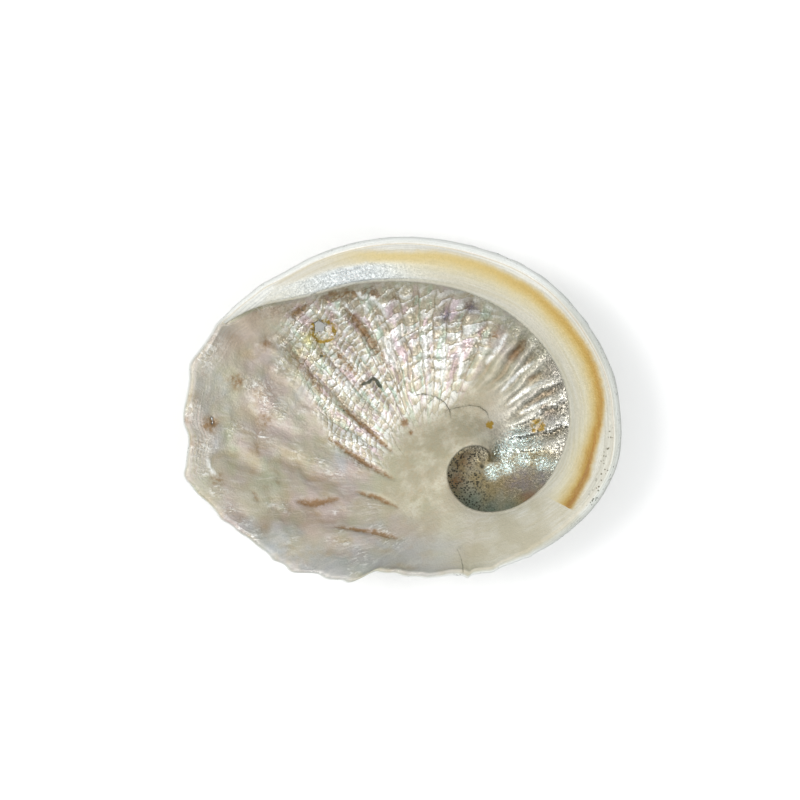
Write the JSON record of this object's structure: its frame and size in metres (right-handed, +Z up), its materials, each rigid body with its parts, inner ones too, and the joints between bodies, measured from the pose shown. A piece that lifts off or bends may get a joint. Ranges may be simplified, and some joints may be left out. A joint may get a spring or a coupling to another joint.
{
  "type": "abalone shell",
  "caption": "Empty abalone shell lying on its back, mouth up: pearly ear-shaped bowl with a broad shelf that winds into the spire and a row of breathing holes.",
  "frame": {"origin": "middle of the bounding box, on the surface that the shell rests on", "axes": "+X along the length towards the spire, +Y towards the side with the shelf, +Z up out of the mouth"},
  "size_m": [0.1203, 0.0939, 0.0302],
  "materials": {
    "nacre": "pearly natural shell, iridescent inside, worn chalky outside"
  },
  "bodies": {
    "root": {"shell": "nacre"}
  },
  "joints": []
}
